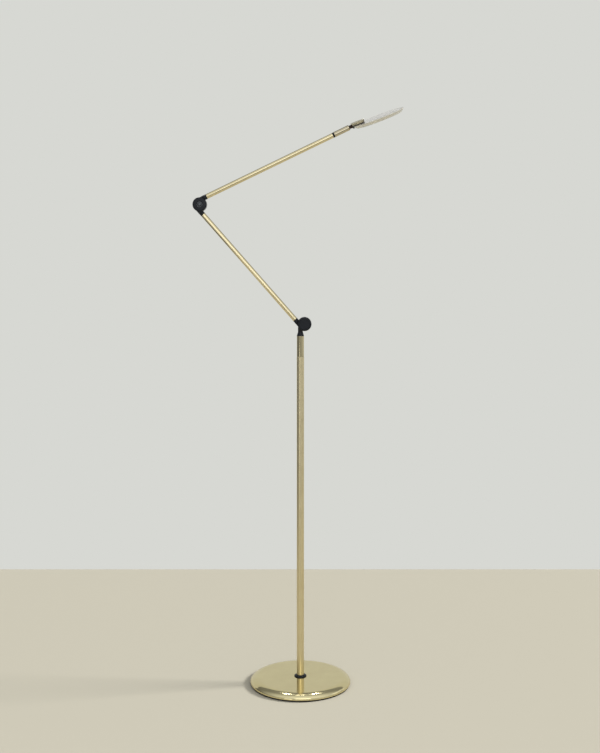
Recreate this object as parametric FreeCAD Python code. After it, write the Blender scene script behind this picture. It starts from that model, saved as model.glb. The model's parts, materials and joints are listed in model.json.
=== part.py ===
import FreeCAD
import Part
import math
import os

# Articulated reading lamp for the floor. Millimetres, +Z up, the origin in the middle of the underside.
# The arms lie in the XZ plane: +X is to the right of a viewer who looks along +Y.

Vector = FreeCAD.Vector
Rotation = FreeCAD.Rotation
Placement = FreeCAD.Placement

X_AXIS = Vector(1, 0, 0)
Y_AXIS = Vector(0, 1, 0)
Z_AXIS = Vector(0, 0, 1)

# Foot
base_radius = 126.0
base_height = 18.8
base_flat_radius = 104.0        # the flat top ends here and the rounded shoulder begins
base_rim_top = 5.5              # upright rim from base_lip up to here
base_lip = 4.3                  # lower edge of the brass
cover_wall = 1.5
pad_radius = 123.5
pad_height = 3.0
weight_radius = 123.9
nut_recess_radius = 22.0
nut_recess_top = 10.0
foot_ring_radius = 15.4
foot_ring_height = 5.0
gland_height = 9.0              # the cord's axis above the floor
gland_radius = 3.2
gland_bore_radius = 2.6
gland_length = 17.0
gland_proud = 1.5

# Stem
stem_radius = 9.0
stem_bore = 8.0
stem_top = 824.8
sleeve_radius = 8.75
sleeve_top = 875.8
sleeve_chamfer = 0.6
liner_bore = 7.0
nipple_radius = 5.0
nipple_bore = 3.4
wire_radius = 2.4

# Hinges: two like mouldings face each other across the arms' own plane
hinge_offset = 10.0             # from the pivot to the axis of a tube
hinge_radius = 17.0
hinge_half_thickness = 11.5
rim_gap = 0.15                  # from the middle plane to the rim of a half
boss_gap = 0.5                  # from the middle plane to the friction face
face_rounding = 3.0
neck_width = 12.0
neck_length = 23.5
neck_clearance_radius = 19.5    # inside it a neck keeps to its own half
neck_tip = 14.0                 # and so it does below this height
spigot_radius = 4.95
spigot_length = 14.0
pivot_radius = 3.0
pivot_bore = 3.08
pocket_radius = 7.8
head_pocket_floor = 7.5
nut_pocket_floor = 5.0
cap_radius = 13.2
cap_thickness = 1.3
wire_groove = (9.8, 13.6)       # inner and outer radius of the wire's ring channel
wire_groove_floor = 6.0
wire_way_radius = 1.9

# Arms
arm_radius = 6.0
arm_bore = 5.0
shoulder_height = 905.1
lower_arm_length = 383.0        # pivot to pivot
lower_arm_lean = 41.25          # degrees to the left of upright
upper_arm_rise = 25.5           # degrees above level, to the right
upper_tube_end = 359.3          # all along the upper arm's axis, from the elbow
swivel_ring_length = 4.0
swivel_ring_radius = 6.2
arm_wire_radius = 1.5

# Barrel and knuckle
barrel_radius = 6.5
barrel_bore = 5.7
barrel_start = 363.6
barrel_end = 402.0
knuckle_place = 407.0
knuckle_radius = 3.8
tongue_half_width = 2.3
cheek_inner = 2.7
cheek_outer = 5.4
tilt_pin_radius = 1.5

# Head, in its own frame: x runs along the disc from the knuckle, z stands on the disc
head_rise = 21.1                # degrees above level
head_roll = 12.0                # at rest the barrel is turned this far towards the viewer
disc_radius = 64.0
disc_centre = 69.3
disc_flat = 6.7                 # x of the flat where the light enters
disc_top = -1.0
disc_thickness = 5.0
holder_start = 2.8
holder_end = 35.2
holder_half_width = 12.0
knuckle_room_half_width = 7.5
holder_top = 6.5
holder_bottom = 0.3
holder_wall = 1.4
holder_ceiling = 4.9            # underside of its roof
holder_rounding = 2.6
plate_bottom = -0.95
clamp_screw_place = (24.0, 6.0)
clamp_screw_end = 2.2

shoulder = Vector(hinge_offset, 0, shoulder_height)
lean = math.radians(lower_arm_lean)
elbow = shoulder + Vector(-math.sin(lean), 0, math.cos(lean)) * lower_arm_length
rise = math.radians(upper_arm_rise)
upper_along = Vector(math.cos(rise), 0, math.sin(rise))
upper_left = Vector(-math.sin(rise), 0, math.cos(rise))
upper_start = elbow + upper_left * hinge_offset
knuckle = upper_start + upper_along * knuckle_place


# Plain helpers

def rod(radius, low, high, centre=(0, 0)):
    """A cylinder that stands on the XY plane."""
    return Part.makeCylinder(radius, high - low, Vector(centre[0], centre[1], low))


def ring(outer, inner, low, high, centre=(0, 0)):
    return rod(outer, low, high, centre).cut(rod(inner, low - 1, high + 1, centre))


def y_rod(radius, front, back, x=0.0, z=0.0):
    return Part.makeCylinder(radius, back - front, Vector(x, front, z), Y_AXIS)


def y_ring(outer, inner, front, back, x=0.0, z=0.0):
    return y_rod(outer, front, back, x, z).cut(y_rod(inner, front - 1, back + 1, x, z))


def block(x, y, z):
    """A box from three (low, high) pairs."""
    corner = Vector(x[0], y[0], z[0])
    return Part.makeBox(x[1] - x[0], y[1] - y[0], z[1] - z[0], corner)


def hex_prism(across_flats, low, high):
    corner_radius = across_flats / math.sqrt(3)
    corners = []
    for step in range(7):
        turn = math.radians(60 * step)
        corners.append(Vector(corner_radius * math.cos(turn), corner_radius * math.sin(turn), low))
    return Part.Face(Part.makePolygon(corners)).extrude(Vector(0, 0, high - low))


def chained(edges):
    return Part.Wire(Part.__sortEdges__(edges))


def line(a, b):
    return Part.LineSegment(Vector(*a), Vector(*b)).toShape()


def arc(a, middle, b):
    return Part.Arc(Vector(*a), Vector(*middle), Vector(*b)).toShape()


def revolved(points):
    """A closed outline of (radius, height) points, turned about Z."""
    outline = [Vector(radius, 0, height) for radius, height in points]
    outline.append(outline[0])
    return Part.Face(Part.makePolygon(outline)).revolve(Vector(0, 0, 0), Z_AXIS, 360)


def circle_edges_at(shape, radius, axis_value, axis="z"):
    """The round edges of one radius in one plane, for rounding or chamfering."""
    found = []
    for edge in shape.Edges:
        curve = edge.Curve
        if not isinstance(curve, Part.Circle) or abs(curve.Radius - radius) > 0.01:
            continue
        if abs(getattr(curve.Center, axis) - axis_value) < 0.01:
            found.append(edge)
    return found


def turned_y_to(shape):
    """Lays a shape that was built along Z down along Y."""
    moved = shape.copy()
    moved.Placement = Placement(Vector(0, 0, 0), Rotation(X_AXIS, -90)).multiply(moved.Placement)
    return moved


def placed(shape, place):
    moved = shape.copy()
    moved.Placement = place.multiply(moved.Placement)
    return moved


# Frames of the moving groups. An arm's frame has its tube along +Z at x = -hinge_offset.

turned_over = Rotation(X_AXIS, 180)
turret_frame = Placement(shoulder, turned_over)
lower_rotation = Rotation(Y_AXIS, -lower_arm_lean)
lower_frame = Placement(shoulder, lower_rotation)
elbow_lower_frame = Placement(elbow, lower_rotation.multiply(turned_over))
upper_frame = Placement(elbow, Rotation(Y_AXIS, 90 - upper_arm_rise))
upper_axis_frame = Placement(upper_start, Rotation(Y_AXIS, 90 - upper_arm_rise))
lower_axis_frame = lower_frame.multiply(Placement(Vector(-hinge_offset, 0, 0), Rotation()))
barrel_frame = upper_axis_frame.multiply(Placement(Vector(0, 0, 0), Rotation(Z_AXIS, head_roll)))
head_frame = Placement(knuckle, Rotation(upper_along, head_roll).multiply(Rotation(Y_AXIS, -head_rise)))


# Foot

def shoulder_curve(flat_radius, top, outer_radius, rim):
    """The quarter ellipse from the flat top down to the upright rim."""
    curve = Part.Ellipse(Vector(outer_radius, 0, rim), Vector(flat_radius, 0, top),
                         Vector(flat_radius, 0, rim))
    start = curve.parameter(Vector(outer_radius, 0, rim))
    end = curve.parameter(Vector(flat_radius, 0, top))
    span = (end - start) % (2 * math.pi)
    if span > math.pi:
        start, end = end, start
    return curve.toShape(start, end)


def foot_body(flat_radius, top, outer_radius, rim, bottom, bore):
    """A round body with a flat top, a rounded shoulder and an upright rim."""
    edges = [
        line((bore, 0, bottom), (outer_radius, 0, bottom)),
        line((outer_radius, 0, bottom), (outer_radius, 0, rim)),
        shoulder_curve(flat_radius, top, outer_radius, rim),
        line((flat_radius, 0, top), (bore, 0, top)),
        line((bore, 0, top), (bore, 0, bottom)),
    ]
    return Part.Face(chained(edges)).revolve(Vector(0, 0, 0), Z_AXIS, 360)


def cord_way(radius):
    """The drilled way from the back of the foot to its nut recess."""
    return y_rod(radius, nut_recess_radius - 4, base_radius + 5, 0, gland_height)


def base_cover():
    outside = foot_body(base_flat_radius, base_height, base_radius, base_rim_top, base_lip,
                        nipple_radius + 0.3)
    rounding = circle_edges_at(outside, base_radius, base_lip)
    outside = outside.makeFillet(0.7, rounding)
    hollow = foot_body(base_flat_radius - 1.0, base_height - cover_wall, base_radius - cover_wall,
                       base_rim_top - 0.5, base_lip - 1, nipple_radius + 2)
    hollow = hollow.fuse(rod(nipple_radius + 3, base_lip - 1, base_height - cover_wall))
    return outside.cut(hollow).cut(cord_way(gland_radius + 0.02))


def base_weight():
    body = foot_body(base_flat_radius - 6.0, base_height - cover_wall, weight_radius,
                     base_rim_top - 1.0, pad_height, nipple_radius + 0.3)
    recess = rod(nut_recess_radius, pad_height - 1, nut_recess_top)
    return body.cut(recess).cut(cord_way(gland_radius + 0.02))


def base_pad():
    pad = rod(pad_radius, 0, pad_height)
    return pad.makeChamfer(0.4, circle_edges_at(pad, pad_radius, 0))


def foot_ring():
    body = ring(foot_ring_radius, stem_radius + 0.05, base_height, base_height + foot_ring_height)
    top_edge = circle_edges_at(body, foot_ring_radius, base_height + foot_ring_height)
    return body.makeFillet(2.6, top_edge)


def foot_plug():
    return ring(stem_bore - 0.05, nipple_radius + 0.02, base_height, base_height + 28)


def threaded_nipple():
    return ring(nipple_radius, nipple_bore, pad_height + 0.4, base_height + 20)


def nipple_washer():
    return ring(18, nipple_radius + 0.3, nut_recess_top - 1.8, nut_recess_top)


def nipple_lock_nut():
    nut = hex_prism(17, pad_height + 1.0, nut_recess_top - 1.8)
    crown = Part.makeCone(9.0, 12.6, 3.6, Vector(0, 0, pad_height + 0.6))
    return nut.common(crown).cut(rod(nipple_radius + 0.02, 0, 20))


def cord_gland():
    """A bush with a rounded mouth. It stands a little proud of the rim at the back."""
    back = base_radius + gland_proud
    body = y_rod(gland_radius, back - gland_length, back, 0, gland_height)
    body = body.makeFillet(0.8, circle_edges_at(body, gland_radius, back, "y"))
    return body.cut(y_rod(gland_bore_radius, back - gland_length - 1, back + 1, 0, gland_height))


# Stem

def stem_tube():
    tube = ring(stem_radius, stem_bore, base_height, stem_top)
    return tube.makeChamfer(0.7, circle_edges_at(tube, stem_radius, stem_top))


def dimmer_sleeve():
    tube = ring(sleeve_radius, stem_bore, stem_top + 0.2, sleeve_top)
    ends = circle_edges_at(tube, sleeve_radius, sleeve_top)
    ends += circle_edges_at(tube, sleeve_radius, stem_top + 0.2)
    return tube.makeChamfer(sleeve_chamfer, ends)


def sleeve_liner():
    """The tube that joins stem and sleeve, with a thin collar that keeps them apart."""
    tube = ring(stem_bore - 0.05, liner_bore, stem_top - 18, sleeve_top - 24)
    collar = ring(stem_bore + 0.4, liner_bore, stem_top, stem_top + 0.2)
    return tube.fuse(collar).removeSplitter()


def dimmer_board():
    board = block((-liner_bore + 0.05, liner_bore - 0.05), (-0.5, 0.5), (stem_top - 15, sleeve_top - 26))
    chips = [
        block((-3.5, 3.5), (0.5, 2.6), (stem_top - 10, stem_top - 2)),
        block((-2.5, 2.5), (0.5, 1.8), (stem_top + 4, stem_top + 10)),
        block((-4.2, -1.2), (0.5, 3.2), (stem_top + 13, stem_top + 19)),
    ]
    return board.multiFuse(chips).removeSplitter()


def stem_wire():
    return rod(wire_radius, pad_height + 2, stem_top - 15)


journal_radius = 6.0
journal_bottom = sleeve_top - 23
collar_bottom = sleeve_top + 0.25


def top_bush():
    return ring(stem_bore - 0.05, journal_radius + 0.06, sleeve_top - 18.2, collar_bottom - 0.05)


def turret_clip():
    """The open ring that snaps into the journal's groove under the bush."""
    low = sleeve_top - 19.7
    clip = ring(7.4, 5.3, low, low + 1.2)
    return clip.cut(block((-3.4, 3.4), (0, 10), (low - 1, low + 3)))


# Hinge mouldings, in the frame of an arm, with the half at y > 0

def rounded_oblong(half_x, half_y, corner, height, centre_x):
    """A closed outline of four straight sides and four round corners."""
    edges = []
    inner_x = half_x - corner
    inner_y = half_y - corner
    diagonal = corner * math.sqrt(0.5)
    for sx, sy in ((1, 1), (-1, 1), (-1, -1), (1, -1)):
        x_end = (centre_x + sx * half_x, sy * inner_y, height)
        y_end = (centre_x + sx * inner_x, sy * half_y, height)
        middle = (centre_x + sx * (inner_x + diagonal), sy * (inner_y + diagonal), height)
        edges.append(arc(x_end, middle, y_end))
    for sign in (1, -1):
        edges.append(line((centre_x - inner_x, sign * half_y, height),
                          (centre_x + inner_x, sign * half_y, height)))
        edges.append(line((centre_x + sign * half_x, -inner_y, height),
                          (centre_x + sign * half_x, inner_y, height)))
    return chained(edges)


def hinge_neck(length):
    """Tapers from the full thickness of the hinge to the round end that meets a tube."""
    half_width = neck_width / 2
    sections = [
        rounded_oblong(half_width, hinge_half_thickness, 3.0, 0, -hinge_offset),
        rounded_oblong(half_width, half_width + 3.4, 4.0, length * 0.55, -hinge_offset),
        rounded_oblong(half_width, half_width, half_width - 0.15, length, -hinge_offset),
    ]
    neck = Part.makeLoft(sections, True, True)
    front = -hinge_half_thickness - 2
    other_half = y_rod(neck_clearance_radius, front, rim_gap)
    below_tip = block((-30, 30), (front, rim_gap), (-5, neck_tip))
    pivot_room = y_rod(wire_groove[1], rim_gap, hinge_half_thickness + 1)
    return neck.cut(other_half).cut(below_tip).cut(pivot_room)


def hinge_disc():
    """The round half with its friction boss left low and its outer edge rounded."""
    disc = y_rod(hinge_radius, rim_gap, hinge_half_thickness)
    outer_edge = circle_edges_at(disc, hinge_radius, hinge_half_thickness, "y")
    disc = disc.makeFillet(face_rounding, outer_edge)
    boss_step = y_rod(wire_groove[0], rim_gap - 1, boss_gap)
    channel = y_ring(wire_groove[1], wire_groove[0], rim_gap - 1, wire_groove_floor)
    return disc.cut(boss_step).cut(channel)


def wire_way(length):
    """The slanting hole from the spigot's end into the ring channel."""
    start = Vector(-hinge_offset, 0, length + 1)
    end = Vector(-hinge_offset, 3.9, 5.5)
    run = end - start
    return Part.makeCylinder(wire_way_radius, run.Length, start, run)


def hinge_half(tail, neck_end, tail_end, nut_side):
    """One moulding: disc, neck and tail, bored for its pivot and its wire."""
    outer = hinge_half_thickness + 1
    body = hinge_disc().fuse(hinge_neck(neck_end)).fuse(tail)
    body = body.cut(y_rod(pivot_bore, -outer, outer))
    if nut_side:
        body = body.cut(y_rod(pocket_radius, nut_pocket_floor, outer))
        body = body.cut(y_rod(cap_radius + 0.1, hinge_half_thickness - cap_thickness, outer))
    else:
        body = body.cut(y_rod(pocket_radius, head_pocket_floor, outer))
    return body.cut(wire_way(tail_end)).removeSplitter()


def arm_hinge_half(nut_side):
    """The half whose tail is a spigot, glued into an arm tube."""
    tail_end = neck_length + spigot_length
    spigot = rod(spigot_radius, neck_length - 1, tail_end, (-hinge_offset, 0))
    return hinge_half(spigot, neck_length, tail_end, nut_side)


def shoulder_stem_half():
    """The half that turns on the stem: its neck flares into a collar above a journal."""
    neck_end = shoulder_height - sleeve_top - 10
    foot = shoulder_height - collar_bottom
    journal_end = shoulder_height - journal_bottom
    groove = shoulder_height - sleeve_top + 18.4
    tail = revolved([
        (0, neck_end - 0.5), (neck_width / 2, neck_end - 0.5), (neck_width / 2 + 0.1, neck_end),
        (8.5, foot - 1.4), (8.9, foot - 0.8), (8.9, foot), (journal_radius, foot),
        (journal_radius, groove), (5.2, groove), (5.2, groove + 1.4), (journal_radius, groove + 1.4),
        (journal_radius, journal_end - 0.6), (journal_radius - 0.6, journal_end), (0, journal_end),
    ])
    tail.translate(Vector(-hinge_offset, 0, 0))
    return hinge_half(tail, neck_end, journal_end, True)


# Friction stack, in the frame of the half that holds the nut

def pivot_screw():
    """A button-head screw: its head lies in the other half's recess."""
    under_head = -(head_pocket_floor + 1.25)
    head_top = under_head - 2.6
    head = Part.makeCone(3.6, 5.4, -(head_top - under_head), Vector(0, head_top, 0), Y_AXIS)
    shank = y_rod(pivot_radius, under_head - 0.5, hinge_half_thickness - cap_thickness - 0.4)
    socket = turned_y_to(hex_prism(4.0, -1.6, 1))
    socket.translate(Vector(0, head_top, 0))
    return head.fuse(shank).cut(socket)


def disc_spring():
    """A dished washer under the nut, pressed almost flat."""
    low = nut_pocket_floor
    inner = pivot_radius + 0.15
    profile = [(inner, low + 0.5), (6.8, low), (6.9, low + 0.7), (inner + 0.1, low + 1.2)]
    return turned_y_to(revolved(profile))


def lock_nut():
    low = nut_pocket_floor + 1.2
    high = hinge_half_thickness - cap_thickness - 0.3
    nut = hex_prism(10.0, low, high)
    crown = Part.makeCone(9.0, 4.9, high - low + 0.001, Vector(0, 0, low))
    nut = nut.common(crown).cut(rod(pivot_radius + 0.03, low - 1, high + 1))
    return turned_y_to(nut)


def hinge_cap():
    high = hinge_half_thickness
    cap = y_rod(cap_radius, high - cap_thickness, high)
    return cap.makeFillet(0.4, circle_edges_at(cap, cap_radius, high, "y"))


def head_washer():
    """In the frame of the half that takes the screw's head."""
    return y_ring(6.8, pivot_radius + 0.15, head_pocket_floor, head_pocket_floor + 1.2)


def friction_washer():
    return y_ring(9.3, pivot_radius + 0.2, -boss_gap + 0.02, boss_gap - 0.02)


# Arms, along the axis of each tube

def arm_tube(low, high):
    return ring(arm_radius, arm_bore, low, high)


def arm_wire(low, high):
    return rod(arm_wire_radius, low, high)


def head_swivel_bush():
    """The black ring between arm and barrel, with a plug behind it and a hollow journal before it."""
    ring_end = upper_tube_end + swivel_ring_length
    edge = 0.4
    body = revolved([
        (wire_way_radius, upper_tube_end - 14), (arm_bore - 0.05, upper_tube_end - 14),
        (arm_bore - 0.05, upper_tube_end), (swivel_ring_radius - edge, upper_tube_end),
        (swivel_ring_radius, upper_tube_end + edge), (swivel_ring_radius, ring_end - edge),
        (swivel_ring_radius - edge, ring_end), (4.0, ring_end), (4.0, ring_end + 11.6),
        (3.3, ring_end + 11.6), (3.3, ring_end + 12.8), (4.0, ring_end + 12.8),
        (4.0, ring_end + 14.5), (wire_way_radius, ring_end + 14.5),
    ])
    return body


def barrel_clip():
    low = upper_tube_end + swivel_ring_length + 11.7
    clip = ring(5.2, 3.4, low, low + 1.0)
    return clip.cut(block((-2.2, 2.2), (0, 10), (low - 1, low + 3)))


def barrel_tube():
    tube = ring(barrel_radius, barrel_bore, barrel_start, barrel_end)
    ends = circle_edges_at(tube, barrel_radius, barrel_start)
    ends += circle_edges_at(tube, barrel_radius, barrel_end)
    return tube.makeChamfer(0.3, ends)


def barrel_rear_bush():
    return ring(barrel_bore - 0.05, 4.06, barrel_start + 0.1, barrel_start + 11.1)


def nose_plug():
    """Closes the barrel with a rounded rim and carries the tongue of the knuckle."""
    plug = rod(barrel_bore - 0.05, barrel_end - 13, barrel_end)
    rim = rod(barrel_radius - 0.2, barrel_end, barrel_end + 0.9)
    rim = rim.makeFillet(0.8, circle_edges_at(rim, barrel_radius - 0.2, barrel_end + 0.9))
    tongue = block((-knuckle_radius, knuckle_radius), (-tongue_half_width, tongue_half_width),
                   (barrel_end, knuckle_place))
    eye = y_rod(knuckle_radius, -tongue_half_width, tongue_half_width, 0, knuckle_place)
    body = plug.fuse(rim).fuse(tongue).fuse(eye)
    pin_hole = y_rod(tilt_pin_radius + 0.06, -9, 9, 0, knuckle_place)
    cup = rod(barrel_bore - 1.6, barrel_end - 14, barrel_end - 1.2)
    wire_hole = rod(0.7, barrel_end - 2, barrel_end + 2, (knuckle_radius + 1.1, 0))
    return body.cut(pin_hole).cut(cup).cut(wire_hole).removeSplitter()


# Head, in its own frame

def finger_outline(inset, height):
    """The holder's plan: square corners behind, a round nose in front."""
    half = holder_half_width - inset
    start = holder_start + inset
    nose_centre = holder_end - holder_half_width
    edges = [
        line((start, half, height), (nose_centre, half, height)),
        arc((nose_centre, half, height), (nose_centre + half, 0, height), (nose_centre, -half, height)),
        line((nose_centre, -half, height), (start, -half, height)),
        line((start, -half, height), (start, half, height)),
    ]
    return Part.Face(chained(edges))


def led_holder():
    """A shallow brass finger, open below, rounded along its top."""
    body = finger_outline(0, holder_bottom).extrude(Vector(0, 0, holder_top - holder_bottom))
    top_edges = [edge for edge in body.Edges if edge.BoundBox.ZMin > holder_top - 0.01]
    body = body.makeFillet(holder_rounding, top_edges)
    room = finger_outline(holder_wall, holder_bottom - 1)
    room = room.extrude(Vector(0, 0, holder_ceiling - holder_bottom + 1))
    sides = (-knuckle_room_half_width, knuckle_room_half_width)
    height = (holder_bottom - 1, knuckle_radius + 0.5)
    knuckle_room = block((holder_start - 1, holder_start + 2), sides, height)
    return body.cut(room).cut(knuckle_room)


def clamp_plate():
    plate = finger_outline(0.3, plate_bottom)
    plate = plate.extrude(Vector(0, 0, holder_bottom - plate_bottom))
    plate = plate.cut(block((0, disc_flat + 0.3), (-20, 20), (plate_bottom - 1, holder_bottom + 1)))
    for side in (-1, 1):
        plate = plate.cut(rod(1.35, -3, 3, (clamp_screw_place[0], side * clamp_screw_place[1])))
    return plate


def tilt_fork():
    """Two cheeks, the plate that backs the light strip, and a tang into the holder."""
    plate_front = knuckle_radius + 0.4
    plate_back = disc_flat - 1.3
    plate = block((plate_front, plate_back), (-11.5, 11.5), (disc_top - disc_thickness, 0.2))
    web = block((plate_front, plate_back), (-cheek_outer, cheek_outer), (0, knuckle_radius + 0.3))
    tang = block((plate_back - 0.1, 16.0), (-4.2, 4.2), (holder_bottom, holder_ceiling))
    body = plate.fuse(web).fuse(tang)
    for side in (-1, 1):
        near = min(side * cheek_inner, side * cheek_outer)
        far = max(side * cheek_inner, side * cheek_outer)
        cheek = y_rod(knuckle_radius, near, far)
        arm = block((0, plate_front + 0.1), (near, far), (-knuckle_radius, knuckle_radius))
        body = body.fuse(cheek).fuse(arm)
    return body.cut(y_rod(tilt_pin_radius + 0.04, -9, 9)).removeSplitter()


def tilt_screw():
    """A small cheese-head screw with a driver slot."""
    head_back = -cheek_outer - 0.05
    head = y_rod(2.7, head_back - 1.5, head_back)
    head = head.makeFillet(0.4, circle_edges_at(head, 2.7, head_back - 1.5, "y"))
    shank = y_rod(tilt_pin_radius, head_back - 0.5, cheek_outer + 1.8)
    slot = block((-0.35, 0.35), (head_back - 2, head_back - 0.9), (-4, 4))
    return head.fuse(shank).cut(slot)


def tilt_nut():
    nut = hex_prism(5.2, cheek_outer + 0.05, cheek_outer + 1.7)
    nut = nut.cut(rod(tilt_pin_radius + 0.03, 0, 12))
    return turned_y_to(nut)


def tilt_washers():
    gap = 0.05
    thickness = cheek_inner - tongue_half_width - 2 * gap
    rings = []
    for side in (-1, 1):
        near = min(side * (tongue_half_width + gap), side * (cheek_inner - gap))
        rings.append(y_ring(3.5, tilt_pin_radius + 0.1, near, near + thickness))
    return Part.Compound(rings)


def led_board():
    """The narrow strip whose lamps face the flat edge of the disc."""
    strip_back = disc_flat - 1.3
    strip = block((strip_back, strip_back + 0.6), (-11.0, 11.0), (disc_top - disc_thickness + 0.2, disc_top))
    lamps = []
    for step in range(6):
        middle = -9.0 + 3.6 * step
        lamps.append(block((strip_back + 0.6, strip_back + 1.1), (middle - 1.2, middle + 1.2),
                           (disc_top - 4.0, disc_top - 1.2)))
    return strip.multiFuse(lamps)


def heat_spreader():
    body = block((16.3, 30.0), (-7.6, 7.6), (holder_bottom, holder_ceiling - 0.5))
    groove_floor = clamp_screw_end + 0.8
    for step in range(4):
        groove = -5.2 + 3.0 * step
        body = body.cut(block((16.0, 31.0), (groove, groove + 1.4), (groove_floor, holder_ceiling)))
    for side in (-1, 1):
        screw_place = (clamp_screw_place[0], side * clamp_screw_place[1])
        body = body.cut(rod(1.28, 0, clamp_screw_end + 0.2, screw_place))
    return body


def clamp_screws():
    """Two countersunk screws that hold the disc up against the plate."""
    screws = []
    head_face = disc_top - disc_thickness
    for side in (-1, 1):
        place = (clamp_screw_place[0], side * clamp_screw_place[1])
        head = Part.makeCone(2.4, 1.25, 1.3, Vector(place[0], place[1], head_face + 0.1))
        shank = rod(1.25, head_face + 1.3, clamp_screw_end, place)
        screws.append(head.fuse(shank).removeSplitter())
    return Part.Compound(screws)


def light_disc():
    """The clear light guide: a thin disc with one flat where the light enters."""
    low = disc_top - disc_thickness
    disc = rod(disc_radius, low, disc_top, (disc_centre, 0))
    edges = circle_edges_at(disc, disc_radius, low) + circle_edges_at(disc, disc_radius, disc_top)
    disc = disc.makeFillet(0.6, edges)
    disc = disc.cut(block((-20, disc_flat), (-40, 40), (low - 1, disc_top + 1)))
    for side in (-1, 1):
        place = (clamp_screw_place[0], side * clamp_screw_place[1])
        disc = disc.cut(rod(1.35, low - 1, disc_top + 1, place))
        disc = disc.cut(Part.makeCone(2.6, 1.3, 1.45, Vector(place[0], place[1], low)))
    return disc


def build():
    """Every piece at its place in the resting lamp, by node name."""
    wire_low = neck_length + spigot_length
    nodes = {
        "base_cover": base_cover(),
        "base_weight": base_weight(),
        "base_pad": base_pad(),
        "foot_ring": foot_ring(),
        "foot_plug": foot_plug(),
        "threaded_nipple": threaded_nipple(),
        "nipple_washer": nipple_washer(),
        "nipple_lock_nut": nipple_lock_nut(),
        "cord_gland": cord_gland(),
        "stem_tube": stem_tube(),
        "stem_wire": stem_wire(),
        "dimmer_sleeve": dimmer_sleeve(),
        "sleeve_liner": sleeve_liner(),
        "dimmer_board": dimmer_board(),
        "top_bush": top_bush(),
        "turret_clip": turret_clip(),
        "shoulder_stem_half": placed(shoulder_stem_half(), turret_frame),
        "shoulder_arm_half": placed(arm_hinge_half(False), lower_frame),
        "lower_arm_tube": placed(arm_tube(neck_length, lower_arm_length - neck_length), lower_axis_frame),
        "lower_arm_wire": placed(arm_wire(wire_low, lower_arm_length - wire_low), lower_axis_frame),
        "elbow_lower_half": placed(arm_hinge_half(False), elbow_lower_frame),
        "elbow_upper_half": placed(arm_hinge_half(True), upper_frame),
        "upper_arm_tube": placed(arm_tube(neck_length, upper_tube_end), upper_axis_frame),
        "upper_arm_wire": placed(arm_wire(wire_low, upper_tube_end - 15), upper_axis_frame),
        "head_swivel_bush": placed(head_swivel_bush(), upper_axis_frame),
        "barrel_clip": placed(barrel_clip(), upper_axis_frame),
        "barrel_tube": placed(barrel_tube(), barrel_frame),
        "barrel_rear_bush": placed(barrel_rear_bush(), barrel_frame),
        "nose_plug": placed(nose_plug(), barrel_frame),
    }
    nut_side_frames = {"shoulder": turret_frame, "elbow": upper_frame}
    head_side_frames = {"shoulder": lower_frame, "elbow": elbow_lower_frame}
    for joint, frame in nut_side_frames.items():
        nodes[joint + "_pivot_screw"] = placed(pivot_screw(), frame)
        nodes[joint + "_disc_spring"] = placed(disc_spring(), frame)
        nodes[joint + "_lock_nut"] = placed(lock_nut(), frame)
        nodes[joint + "_cap"] = placed(hinge_cap(), frame)
    for joint, frame in head_side_frames.items():
        nodes[joint + "_head_washer"] = placed(head_washer(), frame)
        nodes[joint + "_friction_washer"] = placed(friction_washer(), frame)
    head_pieces = [tilt_fork, tilt_screw, tilt_nut, tilt_washers, led_holder, clamp_plate, led_board,
                   heat_spreader, clamp_screws, light_disc]
    for piece in head_pieces:
        nodes[piece.__name__] = placed(piece(), head_frame)
    return nodes


os.makedirs("parts", exist_ok=True)
for name, shape in build().items():
    shape.exportStep("parts/" + name + ".step")
    print(name, "solids", len(shape.Solids), "valid", shape.isValid(), "volume", round(shape.Volume, 1))
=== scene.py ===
import json
import math

import bmesh
import bpy
from mathutils import Matrix, Vector


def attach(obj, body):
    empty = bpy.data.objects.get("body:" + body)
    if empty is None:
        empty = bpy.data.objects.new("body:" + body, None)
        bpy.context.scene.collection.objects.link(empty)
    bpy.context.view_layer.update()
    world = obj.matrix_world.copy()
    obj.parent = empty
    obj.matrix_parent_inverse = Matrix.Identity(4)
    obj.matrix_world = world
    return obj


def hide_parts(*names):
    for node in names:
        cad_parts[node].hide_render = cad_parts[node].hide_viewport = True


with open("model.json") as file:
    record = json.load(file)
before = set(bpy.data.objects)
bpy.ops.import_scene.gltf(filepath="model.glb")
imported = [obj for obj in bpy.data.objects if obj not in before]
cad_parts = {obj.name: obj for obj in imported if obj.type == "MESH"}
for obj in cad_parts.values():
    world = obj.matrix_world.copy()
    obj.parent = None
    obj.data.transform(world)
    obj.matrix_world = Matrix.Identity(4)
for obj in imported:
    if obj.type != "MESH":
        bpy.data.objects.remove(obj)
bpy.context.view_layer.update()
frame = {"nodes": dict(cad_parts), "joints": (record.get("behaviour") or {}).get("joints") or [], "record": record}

# Sizes below are in millimetres. A finished piece is turned to metres where it is written.
MM = 0.001
SAME_POINT = 1e-4               # points this close are one
SAME_EDGE = 1e-3                # an edge this close to a height or radius lies on it
LEVEL = 0.1                     # an edge whose ends differ by less than this runs level
PAST = 1.0                      # how far a cutting shape runs on past what it cuts

# Steps round a turned shape, and across a rounded edge
TURN_STEPS = 96
FOOT_STEPS = 256
SCREW_STEPS = 64
SHANK_STEPS = 48
OBLONG_STEPS = 48
GLAND_STEPS = 48
HOLE_STEPS = 32
SHOULDER_SEGMENTS = 16
KNUCKLE_SEGMENTS = 16
HOLDER_END_SEGMENTS = 24
HOLDER_TOP_SEGMENTS = 8

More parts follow.
